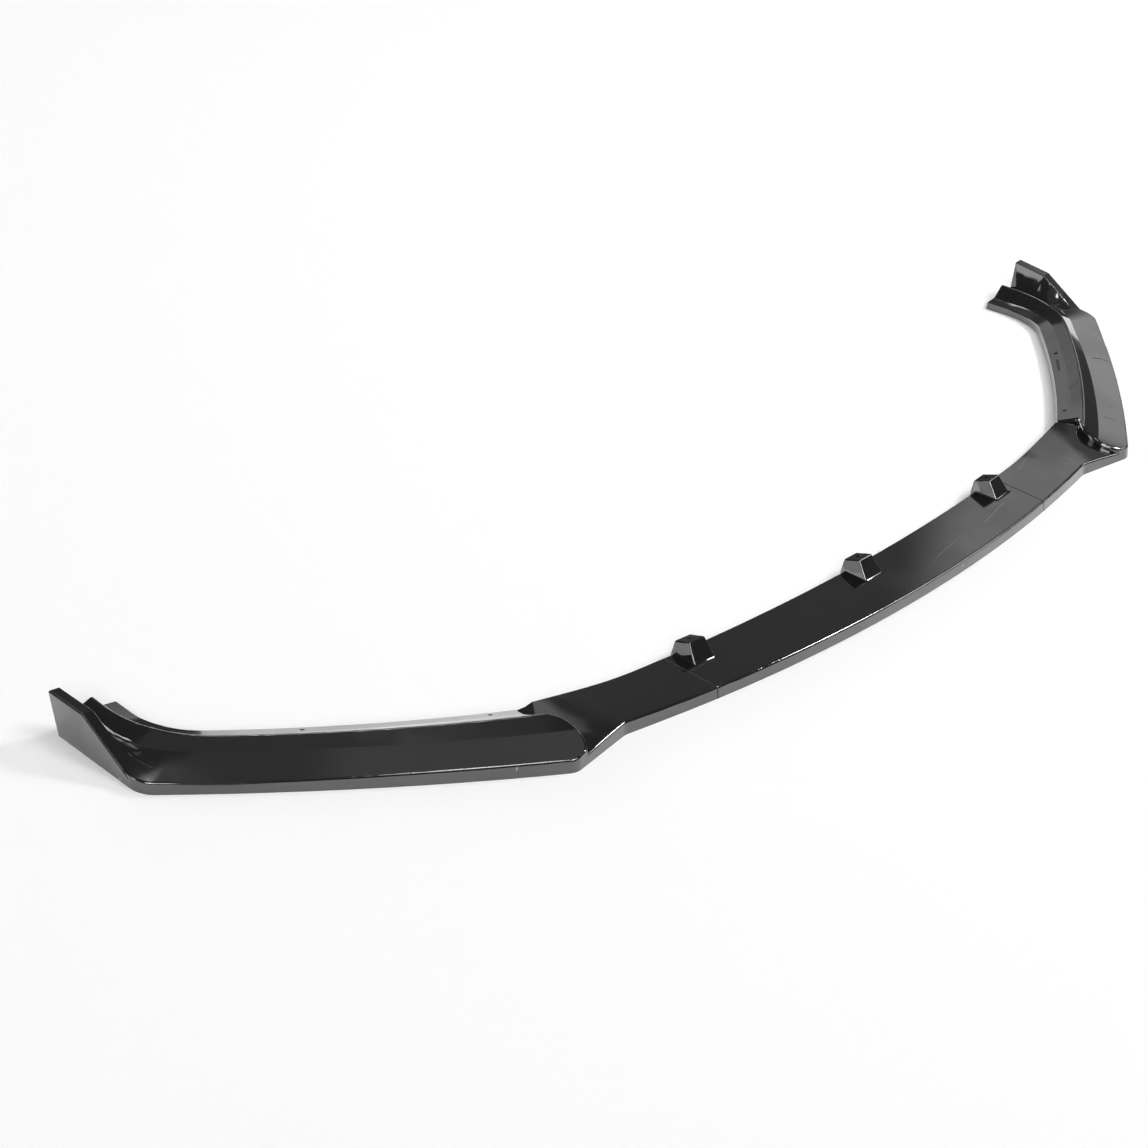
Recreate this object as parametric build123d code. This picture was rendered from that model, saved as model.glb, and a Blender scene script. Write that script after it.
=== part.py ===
"""Front splitter lip for a car bumper: a centre section and two wings, screwed together under the seams.

Millimetres. X runs across the car, the front is at -Y and +Z is up. The origin is on the ground, below the
middle of the part. The right wing is modelled, and the left wing is its mirror image.
"""
from build123d import *
import os
from dataclasses import dataclass
from math import atan2, cos, degrees, radians, sin

# Mouldings
WALL = 3.0                  # skin, skirts and end walls
LIP_DEPTH = 9.0             # turned-down lip along the inner edge
EDGE_ROUND = 2.5            # rounding along the top of the leading face
INNER_ROUND = 1.2           # rounding along the top of the inner edge
SEAM_ROUND = 0.5            # rounding of the rims that meet at the seams
RIB_WALL = 2.0
RIB_FOOT = 5.0              # ribs stop this far above the ground

# Centre section
SEAM_X = 323.0              # seams lie this far to each side of the middle
FACE_HEIGHT = 13.0          # leading face, from the seams inwards
FACE_RAKE = 0.15            # it leans back by this share of its height
PLATE_RISE = 1.2            # inner edge above the top of the leading face
CROWN = 1.0                 # the middle of the section arches this far off the ground
LEAD_FRONT = -202.0         # foremost point of the leading edge
LEAD_RADIUS = 2430.0
INNER_FRONT = -122.7        # inner edge of the plate, at the middle
INNER_RADIUS = 3130.0
RIB_PITCH = 130.0           # ribs under the centre section
CENTRE_RIBS = 4
CENTRE_SPANS = 6            # sections along the centre section

# Towers on the centre section
TOWER_PITCH = 290.0
TOWER_FOOT_WIDTH = 32.0
TOWER_TOP_WIDTH = 24.0
TOWER_FOOT_LENGTH = 36.5
TOWER_TOP_LENGTH = 20.0
TOWER_REAR_HEIGHT = 11.5
TOWER_TOP_SLOPE = 0.37      # the top tilts up to the front
TOWER_OVERHANG = 5.5        # the tower stands out this far behind the plate's inner edge
TOWER_ROUND = 2.0
TOWER_FLARE = 3.4           # hollow curve on both sides of the root, into the inner edge
TOWER_HOLE = 5.2

# Plan of the wing: corners of its leading edge, and its rear end
NOTCH = (450.0, -160.8)     # the leading edge turns outwards here
SHOULDER = (540.0, -173.0)  # foremost corner of the wing
OUTER_CORNER = (881.8, 76.2)
FIN_REAR_X = 871.4
REAR_Y = 202.0
NOTCH_ROUND = 25.0
SHOULDER_ROUND = 20.0
OUTER_ROUND = 28.0
WING_BOW = 8.5              # outward bow of the wing's leading edge
SHOULDER_FACE = 14.4        # leading face at the shoulder
BODY_TOP = 60.0             # blocks that are trimmed to the plan reach up to here

# Inner edge of the wing, from its rear end to the plate
TAIL_X = 799.0
TAIL_LENGTH = 26.1
TAIL_HEADING = -85.0
BEND_RADIUS = 90.0
BEND_TURN = 54.6
LONG_RADIUS = 1693.0
LONG_TURN = 10.6
LONG_STATIONS = 8           # sections along the long arc
NOSE_RUN = 60.0             # the wing's section is carried on this far past the plate's corner

# Wing section, measured outwards from the inner edge
FOLD_OUT = 17.0             # fold in the sloping seat
RIDGE_OUT = 31.5
RIDGE_ROUND = 4.0
SECTION_IN = 14.0           # the section is cut wider than the wing, then trimmed to its plan
SECTION_OUT = 116.0

# Front of the wing: seat end and rounded nose, standing on the plate
SEAT_END_IN = (507.0, -51.0)
SEAT_END_OUT = (533.0, -101.0)
NOSE_CROWN = (505.5, -137.0)
NOSE_FOOT = (531.0, -174.0)
SEAT_END_ROUND = 5.0
NOSE_ROUND = 4.0            # rounding along the rim of the nose
PLATE_RAMP_X = 400.0        # from here the plate's inner edge climbs to the seat
PLATE_RAMP_SLOPE = 0.1
PLATE_RAMP_EASE = 40.0      # the climb sets in over this distance on both sides
PLATE_STATION = 46.0        # spacing of the plate's sections in the wing
PLATE_STATIONS = 7
PLATE_SPREAD = 30.0         # the plate is cut wider than the wing on both sides, then trimmed to its plan
RAMP_DOWN = 20.0            # the plate falls to the seat at this angle
RAMP_DOWN_START = 19.0

# Fin at the outer end of the wing
FIN_THICK = 14.0            # across its top
FIN_TOE_Y = 90.0            # its top leaves the facet just behind here
FIN_KNEE_Y = 157.0
FIN_TOE_HEIGHT = 8.0
FIN_KNEE_HEIGHT = 48.7
FIN_REAR_HEIGHT = 52.5
FIN_TOP_X = 881.0
FIN_TOP_FALL = 1.4          # the top's inner edge lies lower than its outer edge
FIN_RAKE = 0.09             # its rear edge leans back
FIN_ROUND = 1.5             # rounding along its top edges
VALLEY_TOE = (831.0, 18.4)  # valley along the fin's inner root, at its front and rear: x and z
VALLEY_REAR = (860.5, 17.5)
WING_RIBS = 3

# Screw holes through the seat
SEAT_HOLE = 5.2
SEAT_HOLE_OUT = 9.0
SEAT_HOLE_FRONT = 274.0     # distances along the inner edge, from the start of the bend
SEAT_HOLE_REAR = 87.0

# Joint under each seam: a tongue of the wing, screwed to bosses of the centre section
TONGUE_REACH = 24.0
TONGUE_TOP = 7.0
TONGUE_THICK = 2.5
TONGUE_FRONT = -158.0
TONGUE_REAR = -112.0
BOSS_DIAMETER = 9.0
SCREW_DIAMETER = 4.0
SCREW_HEAD = 8.0
SCREW_HEAD_HEIGHT = 2.2
SCREW_CROSS = 4.4           # cross recess in the head, tip to tip
SCREW_CROSS_ARM = 1.0
SCREW_GRIP = 8.0
SCREW_INSET = 12.0          # from the seam
SCREW_EDGE = 8.0            # from the tongue's edges
FIT = 0.2                   # clearance round the screws in the tongue

BIG = 400.0                 # reach of cutting blocks
PAST = 1.0                  # hollows run this far past the ends that they open
NEAR = 0.03                 # an edge this close to a line lies on it
RIM_NEAR = 0.2              # the same for the rims at the seams
UPRIGHT = 0.8               # an edge that climbs more than this share of its length is upright


@dataclass
class Profile:
    """Heights of the wing's section at one place along the inner edge."""

    inner_top: float
    fold_top: float
    ridge_top: float
    crease_out: float
    crease_top: float
    facet_fall: float

    def blend(self, other, share):
        """The profile at a share of the way to another one."""
        pairs = zip(vars(self).values(), vars(other).values())
        return Profile(*(a + (b - a) * share for a, b in pairs))


NOSE_PROFILE = Profile(inner_top=18.8, fold_top=25.3, ridge_top=31.0,
                       crease_out=52.0, crease_top=22.6, facet_fall=0.225)
BEND_PROFILE = Profile(inner_top=13.6, fold_top=18.8, ridge_top=28.3,
                       crease_out=45.5, crease_top=20.0, facet_fall=0.215)
TAIL_PROFILE = Profile(inner_top=9.8, fold_top=12.2, ridge_top=28.4,
                       crease_out=62.0, crease_top=17.5, facet_fall=0.0)


def lead_y(x):
    """Leading edge of the centre section at a distance from the middle."""
    return LEAD_FRONT + x * x / (2 * LEAD_RADIUS)


def inner_y(x):
    """Inner edge of the plate at a distance from the middle."""
    return INNER_FRONT + x * x / (2 * INNER_RADIUS)


def crown(x):
    """How far the centre section is off the ground."""
    return CROWN * (1 - (x / SEAM_X) ** 2)


def prism(face, low=-BIG, high=BIG):
    """A plan face made solid between two heights."""
    return extrude(Pos(0, 0, low) * face, amount=high - low)


def polygon(points):
    """A face from its corners."""
    return make_face(Polyline(*points, close=True))


def fore_aft(x):
    """Upright plane along the car: its x points to the rear, its y up."""
    return Plane(origin=(x, 0, 0), x_dir=(0, 1, 0), z_dir=(1, 0, 0))


def lip_relief(x, lip_top):
    """Section of the gap under the plate's inner lip."""
    rear, top = inner_y(x), lip_top - LIP_DEPTH
    face = polygon([(rear - 2 * WALL, -WALL), (rear - 2 * WALL, top), (rear + WALL, top), (rear + WALL, -WALL)])
    return fore_aft(x) * face


# Centre section

def plate_section(x, drop=0.0, over=0.0, trim=0.0):
    """Section of the centre plate at one station, across the part.

    The skin is lowered by drop, the bottom reaches over below it, and both sides are trimmed inwards.
    """
    front, rear, base = lead_y(x) + trim, inner_y(x) - trim, crown(x)
    face_top = base + FACE_HEIGHT - drop
    front_top = front + FACE_RAKE * FACE_HEIGHT
    outline = [(front, base - over), (front_top, face_top), (rear, face_top + PLATE_RISE), (rear, base - over)]
    face = polygon(outline)
    if not drop:
        rounds = (((front_top, face_top, 0), EDGE_ROUND), ((rear, face_top + PLATE_RISE, 0), INNER_ROUND))
        for corner, radius in rounds:
            face = fillet(face.vertices().sort_by_distance(corner)[0], radius)
    return fore_aft(x) * face


def plate_top(x, y):
    """Height of the centre section's top."""
    share = (y - lead_y(x)) / (inner_y(x) - lead_y(x))
    return crown(x) + FACE_HEIGHT + PLATE_RISE * share


def seam_rim(solid, x):
    """Outer edges of a moulding's end at a seam."""
    outline = plate_section(x).faces()[0].outer_wire()
    found = ShapeList()
    for edge in solid.edges():
        spots = [Vertex(*(edge @ share)) for share in (0, 0.5, 1)]
        off_seam = max(abs(spot.X - x) for spot in spots)
        off_outline = max(outline.distance_to(spot) for spot in spots)
        if off_seam < NEAR and off_outline < RIM_NEAR and spots[1].Z > SEAM_ROUND:
            found.append(edge)
    return found


def tower_block(inset=0.0):
    """A tower's wedge: upright behind, sloping in front, with its top tilted up to the front.

    It is built about the plate's inner edge, with its x along the edge and its foot at no height.
    """
    foot_low = -(LIP_DEPTH + WALL if inset else WALL / 2)
    half_foot, half_top = TOWER_FOOT_WIDTH / 2 - inset, TOWER_TOP_WIDTH / 2 - inset
    rear = TOWER_OVERHANG - inset
    foot_front = TOWER_OVERHANG - TOWER_FOOT_LENGTH + inset
    top_front = TOWER_OVERHANG - TOWER_TOP_LENGTH + inset / 2
    skin = inset * (1 + TOWER_TOP_SLOPE ** 2) ** 0.5
    rear_top = tower_top(rear) - skin
    front_top = tower_top(top_front) - skin
    lower = [(-half_foot, rear, foot_low), (half_foot, rear, foot_low),
             (half_foot, foot_front, foot_low), (-half_foot, foot_front, foot_low)]
    upper = [(-half_top, rear, rear_top), (half_top, rear, rear_top),
             (half_top, top_front, front_top), (-half_top, top_front, front_top)]
    block = loft([polygon(lower), polygon(upper)], ruled=True)
    if not inset:
        above = [edge for edge in block.edges() if edge.center().Z > foot_low + WALL]
        block = fillet(above, TOWER_ROUND)
    return block


def tower_top(y):
    """Height of the tower's tilted top."""
    return TOWER_REAR_HEIGHT + TOWER_TOP_SLOPE * (TOWER_OVERHANG - y)


def tower_root():
    """The plate's inner edge swells out behind a tower and curves back into the edge on both sides."""
    half = TOWER_FOOT_WIDTH / 2
    spread = half + 2 * TOWER_FLARE
    right = [(spread, -WALL), (spread, 0), (half, 0), (half, TOWER_OVERHANG)]
    face = polygon(right + [(-x, y) for x, y in reversed(right)])
    for spot, radius in ((right[2], TOWER_FLARE), (right[3], TOWER_ROUND)):
        for side in (-1, 1):
            face = fillet(face.vertices().sort_by_distance((side * spot[0], spot[1], 0))[0], radius)
    return extrude(Pos(0, 0, -LIP_DEPTH) * face, amount=LIP_DEPTH - INNER_ROUND)


def tower_hole():
    """Screw hole through a tower's tilted top."""
    middle = TOWER_OVERHANG - TOWER_TOP_LENGTH / 2
    plane = Plane(origin=(0, middle, tower_top(middle)), z_dir=(0, TOWER_TOP_SLOPE, 1))
    return plane * Cylinder(TOWER_HOLE / 2, 4 * WALL)


def tower_place(x):
    """Where a tower stands on the plate's inner edge, turned along it."""
    turn = degrees(atan2(x, INNER_RADIUS))
    return Pos(x, inner_y(x), plate_top(x, inner_y(x))) * Rot(0, 0, turn)


def screw_spots(side):
    """Plan places of the two joint screws at one seam."""
    x = side * (SEAM_X - SCREW_INSET)
    return [(x, TONGUE_FRONT + SCREW_EDGE), (x, TONGUE_REAR - SCREW_EDGE)]


def make_centre():
    """The centre section: a crowned shell with three hollow towers, ribs and joint bosses."""
    stations = [SEAM_X * (2 * k / CENTRE_SPANS - 1) for k in range(CENTRE_SPANS + 1)]
    outer = loft([plate_section(x) for x in stations])
    hollow_ends = [-SEAM_X - PAST] + stations[1:-1] + [SEAM_X + PAST]
    hollow = loft([plate_section(x, drop=WALL, over=WALL, trim=WALL) for x in hollow_ends])
    lip_low = loft([lip_relief(x, plate_top(x, inner_y(x))) for x in hollow_ends])
    skin = outer - hollow - lip_low
    first_rib = -RIB_PITCH * (CENTRE_RIBS - 1) / 2
    for k in range(CENTRE_RIBS):
        skin += outer & Pos(first_rib + k * RIB_PITCH, 0, RIB_FOOT + BIG / 2) * Box(RIB_WALL, 2 * BIG, BIG)
    skin -= lip_low
    tower, core = tower_block() + tower_root(), tower_block(inset=WALL) + tower_hole()
    for x in (-TOWER_PITCH, 0, TOWER_PITCH):
        skin += tower_place(x) * tower
        skin -= tower_place(x) * core
    for side in (-1, 1):
        for x, y in screw_spots(side):
            boss = Pos(x, y, TONGUE_TOP + BIG / 2) * Cylinder(BOSS_DIAMETER / 2, BIG)
            skin += boss & outer
            skin -= Pos(x, y, TONGUE_TOP) * Cylinder(SCREW_DIAMETER / 2, 2 * (SCREW_GRIP - TONGUE_THICK))
        skin = fillet(seam_rim(skin, side * SEAM_X), SEAM_ROUND)
    return skin


# Wing

def wing_path():
    """Inner edge of the wing, from its rear end forwards, and the run of its section past the plate."""
    tail_dir = (cos(radians(TAIL_HEADING)), sin(radians(TAIL_HEADING)))
    tail = Line((TAIL_X, REAR_Y), Vector(TAIL_X, REAR_Y) + Vector(*tail_dir) * TAIL_LENGTH)
    bend = JernArc(tail @ 1, tail % 1, BEND_RADIUS, -BEND_TURN)
    long_arc = JernArc(bend @ 1, bend % 1, LONG_RADIUS, -LONG_TURN)
    run_on = Line(long_arc @ 1, (long_arc @ 1) + (long_arc % 1) * NOSE_RUN)
    return tail, bend, long_arc, run_on


TAIL, BEND, LONG_ARC, RUN_ON = wing_path()


def plate_edge():
    """Inner edge of the plate in the wing, from its corner to the seam."""
    corner = LONG_ARC @ 1
    half = (SEAM_X + corner.X) / 2
    return ThreePointArc(corner, (half, inner_y(half)), (SEAM_X, inner_y(SEAM_X)))


def edges_along(solid, lines):
    """Upper edges of a solid that lie over plan lines, without the upright ones."""
    found = ShapeList()
    for edge in solid.edges():
        spot = edge @ 0.5
        near = min(line.distance_to(Vertex(spot.X, spot.Y, 0)) for line in lines)
        if near < NEAR and spot.Z > LIP_DEPTH / 2 and abs((edge % 0.5).Z) < UPRIGHT:
            found.append(edge)
    return found


def shifted(corner, before, after, inset):
    """A corner moved inwards with the two edges that meet there, given as directions."""
    normals = [Vector(-edge.Y, edge.X) for edge in (before.normalized(), after.normalized())]
    spread = 1 + normals[0].dot(normals[1])
    return Vector(*corner) + (normals[0] + normals[1]) * (inset / spread)


def wing_outline(height=0.0):
    """Plan of the right wing at a height, with its corners rounded; the leading face leans back."""
    inset = FACE_RAKE * height
    notch, shoulder, corner = Vector(*NOTCH), Vector(*SHOULDER), Vector(*OUTER_CORNER)
    fin_rear = Vector(FIN_REAR_X, REAR_Y)
    edge = SagittaArc(shoulder, corner, -WING_BOW)
    lead_end = Vector(1, NOTCH[0] / LEAD_RADIUS)
    fin_line = (fin_rear - corner).normalized()
    high_notch = shifted(NOTCH, lead_end, shoulder - notch, inset)
    high_shoulder = shifted(SHOULDER, shoulder - notch, edge % 0, inset)
    wing_end = edge % 1
    slide = inset / (fin_line.X * -wing_end.Y + fin_line.Y * wing_end.X)
    high_corner = corner + fin_line * slide
    seam_front = (SEAM_X, lead_y(SEAM_X) + inset)
    half_lead = (SEAM_X + NOTCH[0]) / 2
    inner_line = plate_edge()
    face = make_face([
        ThreePointArc(seam_front, (half_lead, lead_y(half_lead) + inset), high_notch),
        Line(high_notch, high_shoulder),
        SagittaArc(high_shoulder, high_corner, -WING_BOW),
        Line(high_corner, fin_rear),
        Line(fin_rear, (TAIL_X, REAR_Y)),
        TAIL, BEND, LONG_ARC,
        inner_line,
        Line(inner_line @ 1, seam_front),
    ])
    rounds = ((high_notch, NOTCH_ROUND), (high_shoulder, SHOULDER_ROUND), (high_corner, OUTER_ROUND))
    for spot, radius in rounds:
        face = fillet(face.vertices().sort_by_distance(spot)[0], radius)
    return face


def wing_block(inset=0.0):
    """The wing's plan made solid, with its leading face leaning back, drawn in on all sides by inset."""
    low, high = wing_outline(-inset), wing_outline(BODY_TOP)
    if inset:
        low, high = offset(low, -inset), offset(high, -inset)
    return loft([Pos(0, 0, -inset) * low, Pos(0, 0, BODY_TOP) * high], ruled=True)


def ramp_height(x):
    """Top of the plate's inner edge in the wing: level, then easing into a steady climb."""
    along = x - PLATE_RAMP_X
    climb = max(0, along)
    if abs(along) < PLATE_RAMP_EASE:
        climb = (along + PLATE_RAMP_EASE) ** 2 / (4 * PLATE_RAMP_EASE)
    return FACE_HEIGHT + PLATE_RISE + PLATE_RAMP_SLOPE * climb


def plate_under(drop=0.0):
    """Everything below the plate's top in the wing, wider than the wing, lowered by drop."""
    sections = []
    for k in range(PLATE_STATIONS):
        x = SEAM_X - WALL + k * PLATE_STATION
        front, rear = lead_y(x), inner_y(x)
        face_share = min(max(0, (x - SEAM_X) / (SHOULDER[0] - SEAM_X)), 1)
        low = FACE_HEIGHT + (SHOULDER_FACE - FACE_HEIGHT) * face_share - drop
        high = ramp_height(x) - drop
        slope = (high - low) / (rear - front)
        over = slope * PLATE_SPREAD
        face = polygon([(front - PLATE_SPREAD, -WALL), (front - PLATE_SPREAD, low - over),
                        (rear + PLATE_SPREAD, high + over), (rear + PLATE_SPREAD, -WALL)])
        sections.append(fore_aft(x) * face)
    body = loft(sections)
    along = Vector(SEAT_END_IN[1] - SEAT_END_OUT[1], SEAT_END_OUT[0] - SEAT_END_IN[0]).normalized()
    tilt = radians(RAMP_DOWN)
    lean = Vector(along.X * sin(tilt), along.Y * sin(tilt), cos(tilt))
    cut = Plane(origin=(*SEAT_END_OUT, RAMP_DOWN_START - drop), z_dir=lean)
    return split(body, bisect_by=cut, keep=Keep.BOTTOM)


def wing_stations():
    """Planes across the inner edge, each with the wing's profile there."""
    stations = [(TAIL, share, TAIL_PROFILE) for share in (-0.2, 0.5)]
    stations += [(BEND, share, TAIL_PROFILE.blend(BEND_PROFILE, share)) for share in (0, 0.25, 0.5, 0.75, 1)]
    for k in range(1, LONG_STATIONS + 1):
        share = k / LONG_STATIONS
        stations.append((LONG_ARC, share, BEND_PROFILE.blend(NOSE_PROFILE, share)))
    stations += [(RUN_ON, share, NOSE_PROFILE) for share in (0.5, 1)]
    return stations


def across(edge, share):
    """Upright plane across a path edge: its x points outwards from the inner edge, its y up."""
    heading = edge % min(max(share, 0), 1)
    place = edge @ 0 + (edge @ 1 - edge @ 0) * share if edge in (TAIL, RUN_ON) else edge @ share
    return Plane(origin=place, x_dir=(-heading.Y, heading.X, 0), z_dir=heading)


def wing_under(drop=0.0):
    """Everything below the wing's seat, ridge and facets, wider than the wing, lowered by drop."""
    sections = []
    for edge, share, shape in wing_stations():
        seat_slope = (shape.fold_top - shape.inner_top) / FOLD_OUT
        outer_top = shape.crease_top - shape.facet_fall * (SECTION_OUT - shape.crease_out)
        face = polygon([
            (-SECTION_IN, -WALL),
            (-SECTION_IN, shape.inner_top - seat_slope * SECTION_IN - drop),
            (FOLD_OUT, shape.fold_top - drop),
            (RIDGE_OUT, shape.ridge_top - drop),
            (shape.crease_out, shape.crease_top - drop),
            (SECTION_OUT, outer_top - drop),
            (SECTION_OUT, -WALL),
        ])
        ridge = face.vertices().sort_by_distance((RIDGE_OUT, shape.ridge_top - drop, 0))[0]
        sections.append(across(edge, share) * fillet(ridge, RIDGE_ROUND))
    return loft(sections)


def nose_region(inset=0.0):
    """Plan of the raised wing: all that lies behind the seat's end and outside the rounded nose."""
    face = make_face([
        Line(SEAT_END_IN, SEAT_END_OUT),
        ThreePointArc(SEAT_END_OUT, NOSE_CROWN, NOSE_FOOT),
        Polyline(NOSE_FOOT, (NOSE_FOOT[0], -BIG), (3 * BIG, -BIG), (3 * BIG, BIG), (SEAT_END_IN[0], BIG),
                 SEAT_END_IN),
    ])
    face = fillet(face.vertices().sort_by_distance((*SEAT_END_OUT, 0))[0], SEAT_END_ROUND)
    return offset(face, -inset) if inset else face


def raised_wing():
    """The raised wing inside the nose's plan, with the rim that stands above the plate rounded."""
    region = nose_region()
    block = wing_under() & prism(region)
    rim = edges_along(block, [region.faces()[0].outer_wire()])
    return fillet(rim, NOSE_ROUND)


def fin_block(inset=0.0):
    """The fin: it grows out of the outer facet, twists up to a steep wall and has a knee in its top."""
    sections = []
    toe_run = REAR_Y - FIN_TOE_Y
    foot_slope = (FIN_REAR_X - OUTER_CORNER[0]) / (REAR_Y - OUTER_CORNER[1])
    for y, height in ((FIN_TOE_Y, FIN_TOE_HEIGHT), (FIN_KNEE_Y, FIN_KNEE_HEIGHT), (REAR_Y, FIN_REAR_HEIGHT)):
        foot = OUTER_CORNER[0] + foot_slope * (y - OUTER_CORNER[1])
        lean = (FIN_TOP_X - foot) / FIN_REAR_HEIGHT
        top = foot + lean * height
        share = (y - FIN_TOE_Y) / toe_run
        valley_x, valley_z = (a + (b - a) * share for a, b in zip(VALLEY_TOE, VALLEY_REAR))
        valley_x += inset * share
        rake = FIN_RAKE * share
        corners = [(foot - inset, -inset), (top - inset, height - inset),
                   (top - FIN_THICK + inset, height - FIN_TOP_FALL - inset),
                   (valley_x, valley_z - inset), (valley_x, -inset)]
        shift = y - inset * share
        points = [(x, shift + rake * z, z) for x, z in corners]
        face = polygon(points)
        for corner in () if inset else points[1:3]:
            face = fillet(face.vertices().sort_by_distance(corner)[0], FIN_ROUND)
        sections.append(face)
    return loft(sections, ruled=True)


def seat_hole(distance):
    """Screw hole square to the seat, at a distance along the inner edge from the bend."""
    share = distance / LONG_ARC.length
    shape = BEND_PROFILE.blend(NOSE_PROFILE, share)
    slope = (shape.fold_top - shape.inner_top) / FOLD_OUT
    section = across(LONG_ARC, share)
    spot = section.from_local_coords((SEAT_HOLE_OUT, shape.inner_top + slope * SEAT_HOLE_OUT, 0))
    return Plane(origin=spot, z_dir=section.y_dir - section.x_dir * slope) * Cylinder(SEAT_HOLE / 2, 4 * WALL)


def wing_lip_relief():
    """The gaps under the inner lips of the wing and of its share of the plate."""
    sections = []
    for edge, share, shape in wing_stations():
        top = shape.inner_top - LIP_DEPTH
        face = polygon([(-WALL, -WALL), (-WALL, top), (2 * WALL, top), (2 * WALL, -WALL)])
        sections.append(across(edge, share) * face)
    under_wing = loft(sections[1:-2])
    plate_ends = (SEAM_X + WALL, PLATE_RAMP_X, (LONG_ARC @ 1).X)
    return under_wing + loft([lip_relief(x, ramp_height(x)) for x in plate_ends], ruled=True)


def tongue():
    """Tongue from the wing's end wall, under the centre section, with clearance holes for the screws."""
    reach, width = TONGUE_REACH + WALL, TONGUE_REAR - TONGUE_FRONT
    block = Pos(SEAM_X + WALL - reach / 2, (TONGUE_FRONT + TONGUE_REAR) / 2, TONGUE_TOP - TONGUE_THICK / 2)
    plate = block * Box(reach, width, TONGUE_THICK)
    for x, y in screw_spots(1):
        plate -= Pos(x, y, TONGUE_TOP) * Cylinder(SCREW_DIAMETER / 2 + FIT, 4 * TONGUE_THICK)
    return plate


def leading_edges(solid):
    """Top edges of the leaning leading face."""
    tilt = FACE_RAKE / (1 + FACE_RAKE ** 2) ** 0.5
    faces = [face for face in solid.faces() if abs(face.normal_at().Z - tilt) < FACE_RAKE / 10]
    edges = [edge for face in faces for edge in face.edges() if edge.center().Z > FACE_HEIGHT / 2]
    return ShapeList(edge for edge in edges if abs((edge % 0.5).Z) < UPRIGHT)


def make_wing():
    """The right wing: plate, seat, ridge, facets and fin in one hollow moulding, open below."""
    body, core = wing_block(), wing_block(inset=WALL)
    outer = fin_block()
    for block in (body & plate_under(), body & raised_wing()):
        block = fillet(leading_edges(block), EDGE_ROUND)
        outer += fillet(edges_along(block, (TAIL, BEND, LONG_ARC, plate_edge())), INNER_ROUND)
    hollow = core & plate_under(drop=WALL)
    hollow += core & wing_under(drop=WALL) & prism(nose_region(inset=WALL))
    hollow += fin_block(inset=WALL)
    wing = outer - hollow
    for k in range(WING_RIBS):
        web = across(LONG_ARC, (k + 0.5) / WING_RIBS) * Pos(0, RIB_FOOT + BIG / 2, 0) * Box(BIG, BIG, RIB_WALL)
        wing += web & outer
    wing -= wing_lip_relief()
    wing -= seat_hole(SEAT_HOLE_FRONT) + seat_hole(SEAT_HOLE_REAR)
    wing = fillet(seam_rim(wing, SEAM_X), SEAM_ROUND)
    return wing + tongue()


# Screws

def joint_screw(x, y):
    """A pan-head screw, driven upwards through the tongue into a boss."""
    seat = TONGUE_TOP - TONGUE_THICK
    shank = Pos(x, y, seat + SCREW_GRIP / 2) * Cylinder(SCREW_DIAMETER / 2, SCREW_GRIP)
    head = Pos(x, y, seat - SCREW_HEAD_HEIGHT / 2) * Cylinder(SCREW_HEAD / 2, SCREW_HEAD_HEIGHT)
    head = fillet(head.edges().group_by(Axis.Z)[0], SCREW_HEAD_HEIGHT / 3)
    recess = Box(SCREW_CROSS, SCREW_CROSS_ARM, SCREW_HEAD_HEIGHT)
    recess += Rot(0, 0, 90) * recess
    return shank + head - Pos(x, y, seat - SCREW_HEAD_HEIGHT) * recess


if __name__ == "__main__":
    right_wing = make_wing()
    pieces = {
        "centre_section": make_centre(),
        "right_wing": right_wing,
        "left_wing": mirror(right_wing, Plane.YZ),
        "joint_screws": Compound([joint_screw(x, y) for side in (-1, 1) for x, y in screw_spots(side)]),
    }
    os.makedirs("parts", exist_ok=True)
    middle = (LEAD_FRONT + REAR_Y + FIN_RAKE * FIN_REAR_HEIGHT) / 2
    for name, piece in pieces.items():
        export_step(Pos(0, -middle, 0) * piece, f"parts/{name}.step")
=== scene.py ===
"""Dressed scene of the front splitter lip: mouldings, tower feet, joint screws, studio and camera."""
import logging
import math
from dataclasses import dataclass, field
from enum import Enum
from typing import Callable, Sequence, Union

import bpy
from mathutils import Matrix, Vector


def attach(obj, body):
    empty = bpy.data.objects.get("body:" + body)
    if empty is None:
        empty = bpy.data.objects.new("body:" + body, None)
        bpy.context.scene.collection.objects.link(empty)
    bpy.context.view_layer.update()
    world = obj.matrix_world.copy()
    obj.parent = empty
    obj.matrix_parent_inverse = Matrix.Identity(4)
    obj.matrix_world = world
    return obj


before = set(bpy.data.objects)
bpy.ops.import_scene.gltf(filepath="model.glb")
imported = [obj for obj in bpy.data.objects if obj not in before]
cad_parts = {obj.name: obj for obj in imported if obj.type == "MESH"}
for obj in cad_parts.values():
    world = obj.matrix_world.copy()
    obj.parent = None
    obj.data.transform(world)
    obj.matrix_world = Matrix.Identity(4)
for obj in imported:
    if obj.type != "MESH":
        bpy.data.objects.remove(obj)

LOG = logging.getLogger("splitter_lip")
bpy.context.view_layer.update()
MM = 0.001
SEAM_ACROSS = 323.0
WHITE = (1.0, 1.0, 1.0, 1.0)

Pair = tuple[float, float]
Triple = tuple[float, float, float]
Colour = Triple
Place = Triple
Fed = Union[bpy.types.NodeSocket, float, Sequence[float]]
Sockets = dict[str, bpy.types.NodeSocket]


class Moulding(Enum):
    """The gloss black mouldings, by their node names."""

    CENTRE = "centre_section"
    LEFT = "left_wing"
    RIGHT = "right_wing"


class Wear(Enum):
    """What a mark of use, or a painted shade line, does to the gloss."""

    SCRATCH = "pale line"
    # A dull patch: a real scuff, and also the painted shade at the seams, which is dulled so that it reads
    # dark.
    SCUFF_AND_SHADE = "dull patch"


class Effect(Enum):
    """The shared shader groups, by their names."""

    LINE_MARK = "line_mark"
    MOULDED_GLOSS = "moulded_gloss"


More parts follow.
